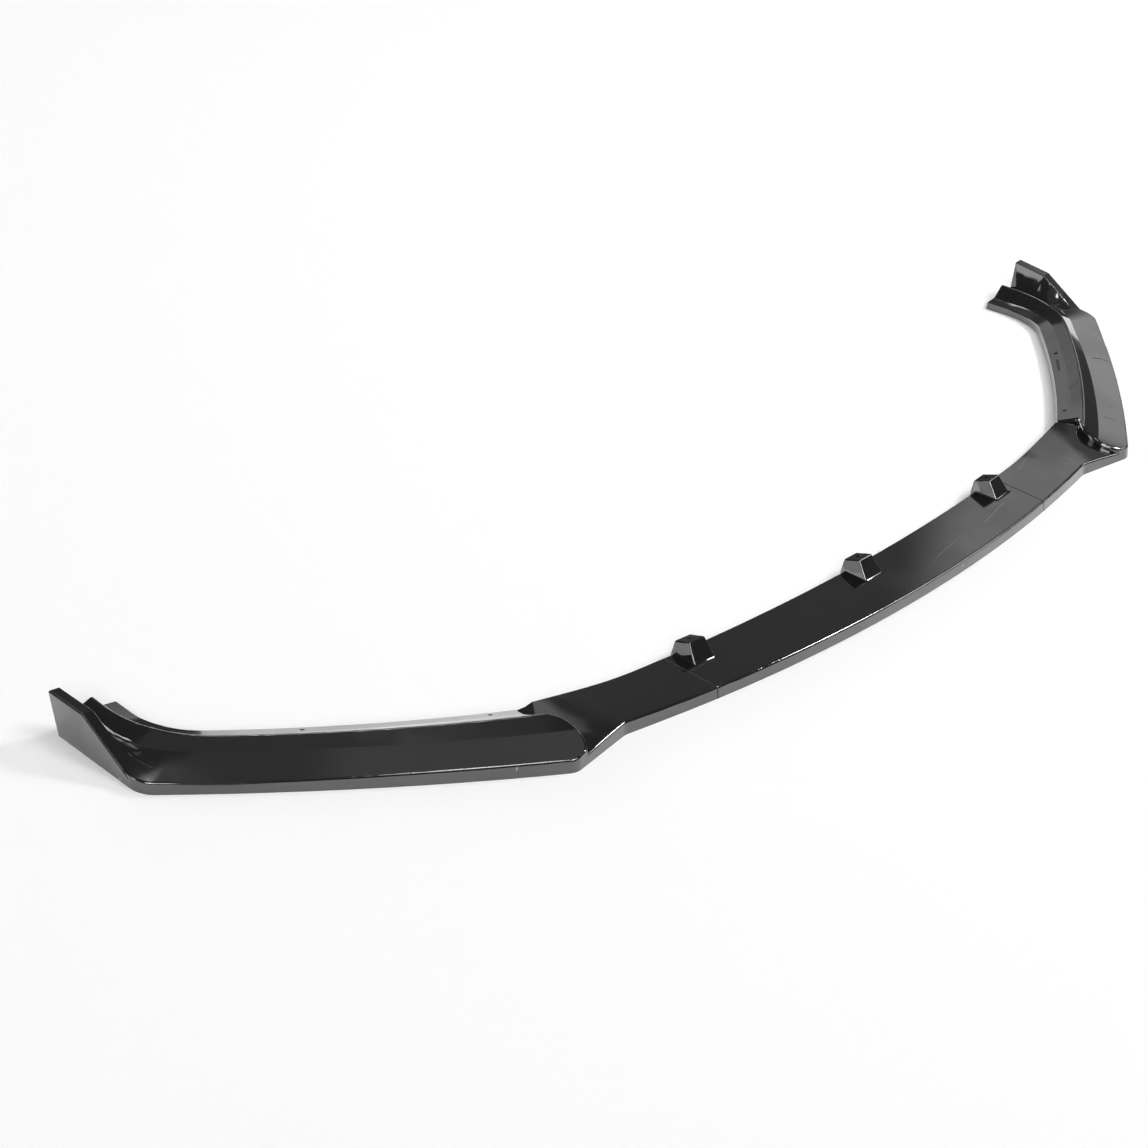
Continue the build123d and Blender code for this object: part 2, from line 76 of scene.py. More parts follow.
@dataclass
class Wiring:
    """Adds nodes to one node tree and links them.

    Args:
        tree: the node tree of a material, a world or a group.
    """

    tree: bpy.types.NodeTree

    def node(self, kind: str, **settings: object) -> bpy.types.Node:
        """Add a node and set its options.

        Args:
            kind: the node's type name.
            settings: options of the node, by name.

        Returns:
            The new node.
        """
        made = self.tree.nodes.new(kind)
        for name, value in settings.items():
            setattr(made, name, value)
        return made

    def feed(self, socket: bpy.types.NodeSocket, value: Fed) -> None:
        """Link an output to an input, or set the input's own value.

        Args:
            socket: the input.
            value: an output to link, or a plain value.
        """
        if isinstance(value, bpy.types.NodeSocket):
            self.tree.links.new(value, socket)
        else:
            socket.default_value = value

    def math(self, operation: str, *values: Fed) -> bpy.types.NodeSocket:
        """Do arithmetic on values.

        Args:
            operation: the name of the operation.
            values: outputs or plain numbers.

        Returns:
            The result's output.
        """
        made = self.node("ShaderNodeMath", operation=operation)
        for socket, value in zip(made.inputs, values):
            self.feed(socket, value)
        return made.outputs[0]

    def vector(self, operation: str, *values: Fed) -> bpy.types.NodeOutputs:
        """Do arithmetic on vectors.

        Args:
            operation: the name of the operation.
            values: outputs or plain vectors.

        Returns:
            The outputs, which are Vector and Value.
        """
        made = self.node("ShaderNodeVectorMath", operation=operation)
        for socket, value in zip(made.inputs, values):
            self.feed(socket, value)
        return made.outputs

    def step(self, value: Fed, start: Fed, end: Fed) -> bpy.types.NodeSocket:
        """Ease from 0 at the start to 1 at the end.

        Args:
            value: the value that runs.
            start: where the result leaves 0.
            end: where the result reaches 1, below the start for a falling step.

        Returns:
            The eased output.
        """
        made = self.node("ShaderNodeMapRange", interpolation_type="SMOOTHSTEP")
        self.feed(made.inputs["Value"], value)
        self.feed(made.inputs["From Min"], start)
        self.feed(made.inputs["From Max"], end)
        return made.outputs["Result"]

    def span(self, value: Fed, low: float, high: float) -> bpy.types.NodeSocket:
        """Spread a value that runs from 0 to 1 over the range from low to high."""
        return self.math("MULTIPLY_ADD", value, high - low, low)

    def noise(self, place: Fed, scale: float, detail: float) -> bpy.types.NodeSocket:
        """Soft random blotches.

        Args:
            place: the coordinates.
            scale: blotches to a metre.
            detail: how many finer layers are added.

        Returns:
            The value of the noise.
        """
        made = self.node("ShaderNodeTexNoise")
        self.feed(made.inputs["Vector"], place)
        made.inputs["Scale"].default_value = scale
        made.inputs["Detail"].default_value = detail
        return made.outputs["Fac"]

    def blend(self, share: Fed, first: Fed, second: Fed) -> bpy.types.NodeSocket:
        """Mix two colours.

        Args:
            share: how much of the second colour shows.
            first: the colour at 0.
            second: the colour at 1.

        Returns:
            The mixed colour.
        """
        made = self.node("ShaderNodeMix", data_type="RGBA")
        # The node has a set of sockets for each type of data, and these are the ones for colours.
        for place, value in ((0, share), (6, first), (7, second)):
            self.feed(made.inputs[place], value)
        return made.outputs[2]


def opaque(colour: Colour) -> tuple[float, float, float, float]:
    """A colour with full cover."""
    return (*colour, 1.0)


@dataclass(frozen=True)
class LineMark:
    """A straight mark on a moulding, from one place to another, in millimetres of the part's frame.

    Args:
        wear: what the mark does to the gloss.
        start: one end.
        end: the other end, close by for a speck.
        width: half of its width.
        strength: how plainly it shows, up to 1.
    """

    wear: Wear
    start: Place
    end: Place
    width: float
    strength: float


# Painted shade at each seam: a dulled, dark band beside it, up the leading face and then back across the
# plate, standing in for the shade in the groove between the mouldings.
SEAM_PAINTED_SHADE = tuple(
    LineMark(Wear.SCUFF_AND_SHADE, (side * SEAM_ACROSS, *low), (side * SEAM_ACROSS, *high), 1.4, 1.0)
    for side in (-1, 1)
    for low, high in (((-183.0, 1.0), (-181.0, 12.0)), ((-181.0, 13.0), (-108.4, 14.2)))
)


@dataclass(frozen=True)
class Effects:
    """Shader node groups that the finishes share.

    A noise is given as blotches to a metre and finer layers. A range is given as the values at which an
    effect starts and is full.

    Args:
        flatten: how much a distance in height counts in a mark's width.
        core: share of a mark's half width that shows in full.
        shortest: least squared length of a mark, in square metres.
        ripple: noise of the skin's slow ripple.
        peel: noise of its fine ripple.
        peel_share: depth of the fine ripple, as a share of the slow one's.
        haze: noise of the hazy patches.
        haze_range: range of the haze.
        specks: places for dust specks to a metre.
        speck_rarity: share of those places that stay clean.
        speck_range: rim and core of a speck, as shares of its place.
        wipe_turn: heading of the wiping lines, in degrees.
        wipe_stretch: how finely the lines follow each other along, across and in height.
        wipe_range: range of a line.
        patch: noise of the wiped patches.
        patch_range: range of a patch.
    """

    flatten: float = 0.35
    core: float = 0.25
    shortest: float = 1e-12
    ripple: Pair = (55.0, 2.0)
    peel: Pair = (420.0, 1.0)
    peel_share: float = 0.05
    haze: Pair = (11.0, 4.0)
    haze_range: Pair = (0.38, 0.68)
    specks: float = 48.0
    speck_rarity: float = 0.88
    speck_range: Pair = (0.034, 0.012)
    wipe_turn: float = 24.0
    wipe_stretch: Triple = (14.0, 900.0, 60.0)
    wipe_range: Pair = (0.62, 0.74)
    patch: Pair = (19.0, 2.0)
    patch_range: Pair = (0.48, 0.66)

    def group(self, effect: Effect, inputs: dict[str, str],
              outputs: Sequence[str]) -> tuple[Wiring, Sockets, Sockets]:
        """Make an empty group with named sockets.

        Args:
            effect: which group it is.
            inputs: socket types by input name.
            outputs: names of the value outputs.

        Returns:
            The wiring of the group, its inputs as outputs to read, and its outputs as inputs to feed.
        """
        tree = bpy.data.node_groups.new(effect.value, "ShaderNodeTree")
        for label, kind in inputs.items():
            tree.interface.new_socket(label, in_out="INPUT", socket_type=kind)
        for label in outputs:
            tree.interface.new_socket(label, in_out="OUTPUT", socket_type="NodeSocketFloat")
        wiring = Wiring(tree)
        entry, leave = wiring.node("NodeGroupInput"), wiring.node("NodeGroupOutput")
        read = {label: entry.outputs[label] for label in inputs}
        return wiring, read, {label: leave.inputs[label] for label in outputs}

    def line_mark(self) -> None:
        """Make the group that draws a soft-edged line between two places."""
        vector, number = "NodeSocketVector", "NodeSocketFloat"
        sockets = {"Place": vector, "Start": vector, "End": vector, "Half Width": number, "Strength": number}
        wiring, read, leave = self.group(Effect.LINE_MARK, sockets, ["Mask"])
        run = wiring.vector("SUBTRACT", read["End"], read["Start"])["Vector"]
        reach = wiring.vector("SUBTRACT", read["Place"], read["Start"])["Vector"]
        along = wiring.vector("DOT_PRODUCT", reach, run)["Value"]
        length = wiring.math("MAXIMUM", wiring.vector("DOT_PRODUCT", run, run)["Value"], self.shortest)
        share = wiring.math("MAXIMUM", wiring.math("DIVIDE", along, length), 0.0)
        nearest = wiring.vector("MULTIPLY", run, wiring.math("MINIMUM", share, 1.0))["Vector"]
        off = wiring.vector("SUBTRACT", reach, nearest)["Vector"]
        flat = wiring.vector("MULTIPLY", off, (1.0, 1.0, self.flatten))["Vector"]
        away = wiring.vector("LENGTH", flat)["Value"]
        line = wiring.step(away, read["Half Width"], wiring.math("MULTIPLY", read["Half Width"], self.core))
        wiring.feed(leave["Mask"], wiring.math("MULTIPLY", line, read["Strength"]))

    def moulded_gloss(self) -> None:
        """Make the group with a gloss skin's slow ripple, patchy haze, dust specks and fine wiping lines."""
        wiring, read, leave = self.group(Effect.MOULDED_GLOSS, {"Place": "NodeSocketVector"},
                                         ["Ripple", "Haze", "Dust", "Wiping"])
        place = read["Place"]
        ripple, peel = (wiring.noise(place, *noise) for noise in (self.ripple, self.peel))
        wiring.feed(leave["Ripple"], wiring.math("MULTIPLY_ADD", peel, self.peel_share, ripple))
        wiring.feed(leave["Haze"], wiring.step(wiring.noise(place, *self.haze), *self.haze_range))
        cells = wiring.node("ShaderNodeTexVoronoi", feature="F1")
        wiring.feed(cells.inputs["Vector"], place)
        cells.inputs["Scale"].default_value = self.specks
        tint = wiring.node("ShaderNodeSeparateColor")
        wiring.feed(tint.inputs["Color"], cells.outputs["Color"])
        rare = wiring.math("GREATER_THAN", tint.outputs["Red"], self.speck_rarity)
        speck = wiring.step(cells.outputs["Distance"], *self.speck_range)
        wiring.feed(leave["Dust"], wiring.math("MULTIPLY", speck, rare))
        drawn = wiring.node("ShaderNodeMapping")
        wiring.feed(drawn.inputs["Vector"], place)
        drawn.inputs["Rotation"].default_value = (0.0, 0.0, math.radians(self.wipe_turn))
        drawn.inputs["Scale"].default_value = self.wipe_stretch
        lines = wiring.step(wiring.noise(drawn.outputs["Vector"], 1.0, 1.0), *self.wipe_range)
        patch = wiring.step(wiring.noise(place, *self.patch), *self.patch_range)
        wiring.feed(leave["Wiping"], wiring.math("MULTIPLY", lines, patch))

    def build(self) -> None:
        """Make both groups."""
        self.line_mark()
        self.moulded_gloss()


@dataclass(frozen=True)
class GlossBlack:
    """Gloss black moulded plastic: a sharp top gloss over a slightly softer body, with marks of use.

    Args:
        colour: the plastic's own colour.
        haze_lift: how much paler the plastic is in hazy patches.
        pale: the colour of bare scratches and dust.
        dust: how plainly dust specks show.
        wiping: how plainly wiping lines show.
        roughness: the body's roughness, from clear to hazy.
        worn_and_shade_roughness: roughness of a full scratch, and of a full scuff and the painted seam
            shade.
        coat_roughness: roughness of the top gloss.
        haze_coat: how much of the top gloss is left in hazy patches.
        ripple_depth: depth of the skin's ripple, in metres.
        bend: how strongly body and top gloss bend light.
    """

    colour: Colour = (0.0062, 0.0062, 0.0066)
    haze_lift: float = 1.25
    pale: Colour = (0.33, 0.33, 0.34)
    dust: float = 0.22
    wiping: float = 0.012
    roughness: Pair = (0.07, 0.15)
    worn_and_shade_roughness: Pair = (0.5, 0.7)
    coat_roughness: float = 0.035
    haze_coat: float = 0.8
    ripple_depth: float = 0.00003
    bend: Pair = (1.7, 1.75)

    def material(self, name: str, marks: Sequence[LineMark]) -> bpy.types.Material:
        """Make the finish of one moulding.

        Args:
            name: the material's name.
            marks: the marks of use on this moulding, and the painted shade lines at its seams.

        Returns:
            The material.
        """
        made = bpy.data.materials.new(name)
        made.use_nodes = True
        wiring = Wiring(made.node_tree)
        shader = made.node_tree.nodes["Principled BSDF"]
        place = wiring.node("ShaderNodeTexCoord").outputs["Object"]
        skin = self.place_group(wiring, Effect.MOULDED_GLOSS, Place=place)
        scratched = wiring.math("MULTIPLY", skin["Dust"], self.dust)
        scratched = wiring.math("MAXIMUM", scratched, wiring.math("MULTIPLY", skin["Wiping"], self.wiping))
        # Scuffs and the painted seam shade both take off the top gloss and roughen the body, so they read
        # dark.
        scuffs_and_seam_shade: Fed = 0.0
        for mark in marks:
            mask = self.draw(wiring, place, mark)
            if mark.wear is Wear.SCRATCH:
                scratched = wiring.math("MAXIMUM", scratched, mask)
            else:
                scuffs_and_seam_shade = wiring.math("MAXIMUM", scuffs_and_seam_shade, mask)
        hazy = tuple(self.haze_lift * c for c in self.colour)
        body = wiring.blend(skin["Haze"], opaque(self.colour), opaque(hazy))
        wiring.feed(shader.inputs["Base Color"], wiring.blend(scratched, body, opaque(self.pale)))
        rough = wiring.span(skin["Haze"], *self.roughness)
        for mask, worn in zip((scratched, scuffs_and_seam_shade), self.worn_and_shade_roughness):
            rough = wiring.math("MAXIMUM", rough, wiring.math("MULTIPLY", mask, worn))
        wiring.feed(shader.inputs["Roughness"], rough)
        clear, clear_of_scuff_and_shade = wiring.span(skin["Haze"], 1.0, self.haze_coat), wiring.span(scuffs_and_seam_shade, 1.0, 0.0)
        wiring.feed(shader.inputs["Coat Weight"], wiring.math("MULTIPLY", clear, clear_of_scuff_and_shade))
        shader.inputs["Coat Roughness"].default_value = self.coat_roughness
        shader.inputs["IOR"].default_value, shader.inputs["Coat IOR"].default_value = self.bend
        bump = wiring.node("ShaderNodeBump")
        bump.inputs["Distance"].default_value = self.ripple_depth
        wiring.feed(bump.inputs["Height"], skin["Ripple"])
        wiring.feed(shader.inputs["Normal"], bump.outputs["Normal"])
        return made

    def draw(self, wiring: Wiring, place: bpy.types.NodeSocket, mark: LineMark) -> bpy.types.NodeSocket:
        """Draw one mark.

        Args:
            wiring: the material's nodes.
            place: the coordinates.
            mark: the mark.

        Returns:
            Its mask.
        """
        start, end = (tuple(c * MM for c in spot) for spot in (mark.start, mark.end))
        sockets = {"Half Width": mark.width * MM, "Strength": mark.strength}
        made = self.place_group(wiring, Effect.LINE_MARK, Place=place, Start=start, End=end, **sockets)
        return made["Mask"]

    def place_group(self, wiring: Wiring, effect: Effect, **values: Fed) -> bpy.types.NodeOutputs:
        """Place a shared effect in the material.

        Args:
            wiring: the material's nodes.
            effect: which group it is.
            values: what feeds its inputs, by name.

        Returns:
            The group's outputs.
        """
        made = wiring.node("ShaderNodeGroup", node_tree=bpy.data.node_groups[effect.value])
        for label, value in values.items():
            wiring.feed(made.inputs[label], value)
        return made.outputs


@dataclass(frozen=True)
class ZincSteel:
    """Zinc-plated steel of the joint screws, with a fine spangle.

    Args:
        colour: the plating's colour.
        dull: its colour where it has dulled.
        spangle: blotches to a metre and finer layers of the dulled spots.
        spangle_range: noise values at which a spot starts and is full.
        roughness: roughness of bright and of dulled plating.
        grain: blotches to a metre and finer layers of the plating's grain.
        grain_depth: depth of the grain, in metres.
    """

    colour: Colour = (0.56, 0.56, 0.57)
    dull: Colour = (0.34, 0.34, 0.35)
    spangle: Pair = (700.0, 3.0)
    spangle_range: Pair = (0.4, 0.65)
    roughness: Pair = (0.26, 0.42)
    grain: Pair = (2600.0, 2.0)
    grain_depth: float = 0.00003

    def material(self, name: str) -> bpy.types.Material:
        """Make the finish.

        Args:
            name: the material's name.

        Returns:
            The material.
        """
        made = bpy.data.materials.new(name)
        made.use_nodes = True
        wiring = Wiring(made.node_tree)
        shader = made.node_tree.nodes["Principled BSDF"]
        place = wiring.node("ShaderNodeTexCoord").outputs["Object"]
        spots = wiring.step(wiring.noise(place, *self.spangle), *self.spangle_range)
        wiring.feed(shader.inputs["Base Color"], wiring.blend(spots, opaque(self.colour), opaque(self.dull)))
        wiring.feed(shader.inputs["Roughness"], wiring.span(spots, *self.roughness))
        shader.inputs["Metallic"].default_value = 1.0
        bump = wiring.node("ShaderNodeBump")
        bump.inputs["Distance"].default_value = self.grain_depth
        wiring.feed(bump.inputs["Height"], wiring.noise(place, *self.grain))
        wiring.feed(shader.inputs["Normal"], bump.outputs["Normal"])
        return made


@dataclass
class Mouldings:
    """The centre section and the two wings, which keep their shapes and get their finish here.

    Args:
        finish: the gloss that all three share.
        marks: the marks of use on each, and the painted shade lines at the seams.
    """

    finish: GlossBlack = field(default_factory=GlossBlack)
    marks: dict[Moulding, tuple[LineMark, ...]] = field(default_factory=lambda: {
        Moulding.CENTRE: (
            LineMark(Wear.SCRATCH, (97.5, -175.1, 14.3), (147.4, -167.2, 14.3), 0.7, 0.30),
            LineMark(Wear.SCRATCH, (59.3, -185.3, 14.2), (97.3, -177.9, 14.3), 0.7, 0.10),
            LineMark(Wear.SCRATCH, (217.1, -164.1, 14.0), (280.4, -150.9, 13.8), 0.8, 0.30),
            LineMark(Wear.SCRATCH, (251.8, -147.7, 14.1), (272.0, -147.6, 13.9), 0.7, 0.16),
            LineMark(Wear.SCRATCH, (243.8, -178.6, 13.6), (245.6, -178.4, 13.6), 1.2, 0.35),
            LineMark(Wear.SCRATCH, (235.3, -191.3, 11.2), (236.3, -191.2, 11.2), 1.2, 0.55),
            LineMark(Wear.SCRATCH, (114.7, -200.6, 7.5), (115.6, -200.6, 7.5), 1.2, 0.55),
            *SEAM_PAINTED_SHADE,
        ),
        Moulding.RIGHT: (
            LineMark(Wear.SCRATCH, (364.9, -116.7, 14.1), (412.7, -104.1, 15.7), 0.8, 0.26),
            LineMark(Wear.SCRATCH, (423.7, -104.5, 16.5), (435.9, -114.4, 16.6), 0.9, 0.16),
            LineMark(Wear.SCRATCH, (446.0, -140.3, 15.5), (442.7, -155.5, 14.3), 0.9, 0.26),
            LineMark(Wear.SCRATCH, (435.1, -144.1, 14.9), (435.8, -156.7, 14.2), 0.9, 0.24),
            LineMark(Wear.SCRATCH, (452.3, -112.9, 17.8), (493.2, -96.1, 22.1), 0.8, 0.06),
            LineMark(Wear.SCRATCH, (575.4, -54.5, 20.4), (555.0, -69.6, 21.0), 3.0, 0.05),
            LineMark(Wear.SCUFF_AND_SHADE, (735.1, -4.5, 18.6), (750.7, -10.0, 15.4), 1.6, 0.85),
            LineMark(Wear.SCUFF_AND_SHADE, (750.7, -10.0, 15.4), (754.6, -20.6, 13.1), 1.4, 0.75),
            LineMark(Wear.SCUFF_AND_SHADE, (579.6, -112.9, 20.4), (592.0, -124.2, 16.8), 1.8, 0.45),
            LineMark(Wear.SCUFF_AND_SHADE, (712.3, 37.8, 18.2), (711.0, 37.0, 18.2), 2.4, 0.90),
            LineMark(Wear.SCUFF_AND_SHADE, (690.2, 23.0, 18.2), (663.0, 3.7, 18.7), 2.6, 0.65),
            LineMark(Wear.SCUFF_AND_SHADE, (612.2, -39.6, 22.4), (620.5, -41.7, 25.0), 1.4, 0.55),
            LineMark(Wear.SCUFF_AND_SHADE, (620.5, -41.7, 25.0), (633.4, -42.2, 28.6), 1.2, 0.45),
            *SEAM_PAINTED_SHADE,
        ),
        Moulding.LEFT: (
            LineMark(Wear.SCUFF_AND_SHADE, (-862.2, 110.8, 19.8), (-857.7, 82.8, 15.5), 0.9, 0.90),
            LineMark(Wear.SCRATCH, (-592.0, -140.8, 10.0), (-591.0, -140.8, 10.0), 1.2, 0.60),
            LineMark(Wear.SCRATCH, (-879.6, 103.1, 2.6), (-879.6, 103.9, 2.6), 1.1, 0.55),
            *SEAM_PAINTED_SHADE,
        ),
    })

    def dress(self) -> dict[Moulding, bpy.types.Material]:
        """Give each moulding the gloss with its own marks.

        Returns:
            The materials by moulding.
        """
        made = {}
        for moulding in Moulding:
            name = f"gloss_black_{moulding.name.lower()}"
            made[moulding] = self.finish.material(name, self.marks[moulding])
            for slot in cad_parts[moulding.value].material_slots:
                slot.material = made[moulding]
        return made


def choose(piece: bpy.types.Object, kind: str, test: Callable[[Vector], bool]) -> None:
    """Select the edges or faces of a piece by the place of their middles, and stay in edit mode.

    Args:
        piece: the piece that is being shaped.
        kind: EDGE or FACE.
        test: says for the middle of an edge or face whether it is wanted.
    """
    bpy.ops.object.mode_set(mode="EDIT")
    bpy.ops.mesh.select_mode(type=kind)
    bpy.ops.mesh.select_all(action="DESELECT")
    bpy.ops.object.mode_set(mode="OBJECT")
    mesh = piece.data
    for item in mesh.edges if kind == "EDGE" else mesh.polygons:
        spots = [mesh.vertices[k].co for k in item.vertices]
        item.select = test(sum(spots, Vector()) / len(spots))
    bpy.ops.object.mode_set(mode="EDIT")


@dataclass
class TowerFeet:
    """The hollow curve in which the plate runs up into each tower, on the tower's front and sides.

    Sizes are in millimetres. A tower's own frame has its origin on the plate's inner edge.

    Args:
        pitch: from tower to tower.
        edge_front: the plate's inner edge at the middle.
        edge_radius: radius of that edge.
        edge_height: its height at the middle.
        crown: how much lower the edge is at the seams.
        half_width: half of the tower's foot.
        front: front of the foot.
        rear: where the curve ends, just short of the inner edge.
        margin: width of the plate that is modelled round the foot, and how far back the foot is modelled.
        wall: height of the tower's wall that is modelled.
        side_lean: the side walls lean in by this share of their height.
        front_lean: the front wall leans back by this share of its height.
        plate_fall: the plate falls to the front by this share.
        corner: rounding of the tower's upright edges.
        corner_steps: faces in that rounding.
        curve: width of the hollow curve.
        curve_steps: faces across it.
        skin: how deep the curve's piece reaches into tower and plate.
        near: how far off a place still counts as there.
        hair: a distance that counts as none.
        smooth_angle: largest bend that is shaded smooth, in degrees.
    """

    pitch: float = 290.0
    edge_front: float = -125.06
    edge_radius: float = 3130.0
    edge_height: float = 15.2
    crown: float = 1.0
    half_width: float = 15.6
    front: float = -29.9
    rear: float = -0.8
    margin: float = 6.0
    wall: float = 6.0
    side_lean: float = 0.24
    front_lean: float = 0.81
    plate_fall: float = 0.015
    corner: float = 2.0
    corner_steps: int = 5
    curve: float = 2.2
    curve_steps: int = 6
    skin: float = 0.4
    near: float = 0.1
    hair: float = 0.001
    smooth_angle: float = 35.0

    def model(self) -> bpy.types.Object:
        """Model one foot curve.

        Returns:
            The piece, in a tower's own frame.
        """
        bpy.ops.object.select_all(action="DESELECT")
        length, middle = self.margin - self.front, (self.margin + self.front) / 2 * MM
        bpy.ops.mesh.primitive_plane_add(size=1.0, location=(0.0, middle, 0.0))
        piece = bpy.context.object
        piece.name = "tower_foot_curve"
        bpy.ops.object.mode_set(mode="EDIT")
        bpy.ops.transform.resize(value=((2 * self.half_width + 2 * self.margin) * MM,
                                        (length + 2 * self.margin) * MM, 1.0))
        bpy.ops.mesh.inset(thickness=self.margin * MM, use_even_offset=True)
        bpy.ops.mesh.extrude_region_move(TRANSFORM_OT_translate={"value": (0.0, 0.0, self.wall * MM)})
        narrow = 1.0 - self.side_lean * self.wall / self.half_width
        short = 1.0 - self.front_lean * self.wall / length
        bpy.ops.transform.resize(value=(narrow, short, 1.0),
                                 center_override=(0.0, self.margin * MM, self.wall * MM))
        bpy.ops.object.mode_set(mode="OBJECT")
        bpy.ops.object.transform_apply(location=True, rotation=True, scale=True)
        near, half_wall = self.near * MM, self.wall / 2 * MM
        choose(piece, "EDGE", lambda spot: abs(spot.z - half_wall) < near and spot.y < middle)
        bpy.ops.mesh.bevel(offset=self.corner * MM, segments=self.corner_steps, affect="EDGES")
        side, front = self.half_width * MM + near, (self.front - self.margin / 2) * MM
        choose(piece, "EDGE", lambda spot: spot.z < near and abs(spot.x) <= side and spot.y > front)
        bpy.ops.mesh.bevel(offset=self.curve * MM, segments=self.curve_steps, affect="EDGES")
        low, high = self.hair * MM, self.curve * MM + 2 * near
        choose(piece, "FACE", lambda spot: spot.z < low or spot.z > high)
        bpy.ops.mesh.delete(type="FACE")
        bpy.ops.mesh.select_all(action="SELECT")
        bpy.ops.mesh.bisect(plane_co=(0.0, self.rear * MM, 0.0), plane_no=(0.0, 1.0, 0.0), clear_outer=True)
        bpy.ops.mesh.select_all(action="SELECT")
        bpy.ops.mesh.remove_doubles(threshold=self.hair * MM)
        bpy.ops.object.mode_set(mode="OBJECT")
        solid = piece.modifiers.new("skin", "SOLIDIFY")
        solid.thickness = self.skin * MM
        solid.offset = -1.0
        bpy.ops.object.modifier_apply(modifier=solid.name)
        bpy.ops.object.shade_smooth_by_angle(angle=math.radians(self.smooth_angle))
        return piece

    def spot(self, across: float) -> Matrix:
        """Where a tower stands.

        Args:
            across: its distance from the middle, in millimetres.

        Returns:
            The place and turn of its frame, in metres.
        """
        ahead = self.edge_front + across ** 2 / (2 * self.edge_radius)
        height = self.edge_height - self.crown * (across / SEAM_ACROSS) ** 2
        turn = Matrix.Rotation(math.atan2(across, self.edge_radius), 4, "Z")
        fall = Matrix.Rotation(math.atan(self.plate_fall), 4, "X")
        return Matrix.Translation(Vector((across, ahead, height)) * MM) @ turn @ fall

    def build(self, finish: bpy.types.Material) -> list[bpy.types.Object]:
        """Place a foot curve at each tower and dress it.

        Args:
            finish: the centre section's gloss.

        Returns:
            The three pieces.
        """
        first = self.model()
        pieces = []
        for name, across in (("left", -self.pitch), ("centre", 0.0), ("right", self.pitch)):
            piece = bpy.data.objects.new(f"tower_foot_curve_{name}", first.data.copy())
            bpy.context.scene.collection.objects.link(piece)
            piece.data.transform(self.spot(across))
            piece.data.materials.clear()
            piece.data.materials.append(finish)
            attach(piece, "root")
            pieces.append(piece)
        bpy.data.objects.remove(first)
        return pieces


@dataclass
class JointScrews:
    """The four screws under the seams, which keep their shape.

    Args:
        finish: their plating.
        node: their node's name.
    """

    finish: ZincSteel = field(default_factory=ZincSteel)
    node: str = "joint_screws"

    def dress(self) -> None:
        """Plate the screws."""
        plating = self.finish.material("zinc_steel")
        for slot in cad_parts[self.node].material_slots:
            slot.material = plating


@dataclass(frozen=True)
class SoftBox:
    """A lit panel of the studio, by the directions in which the part sees it, in degrees.

    Args:
        heading: from and to, counted from the part's right towards its rear.
        height: from and to, above the floor.
        strength: how bright it is.
        blur: half of the width of its soft border.
    """

    heading: Pair
    height: Pair
    strength: float
    blur: float = 1.5

    def glow(self, wiring: Wiring, heading: Fed, height: Fed) -> bpy.types.NodeSocket:
        """The panel's light in a direction.

        Args:
            wiring: the world's nodes.
            heading: the direction's heading.
            height: its height.

        Returns:
            The light's strength.
        """
        light: Fed = self.strength
        for value, (low, high) in ((heading, self.heading), (height, self.height)):
            light = wiring.math("MULTIPLY", light, wiring.step(value, low - self.blur, low + self.blur))
            light = wiring.math("MULTIPLY", light, wiring.step(value, high + self.blur, high - self.blur))
        return light


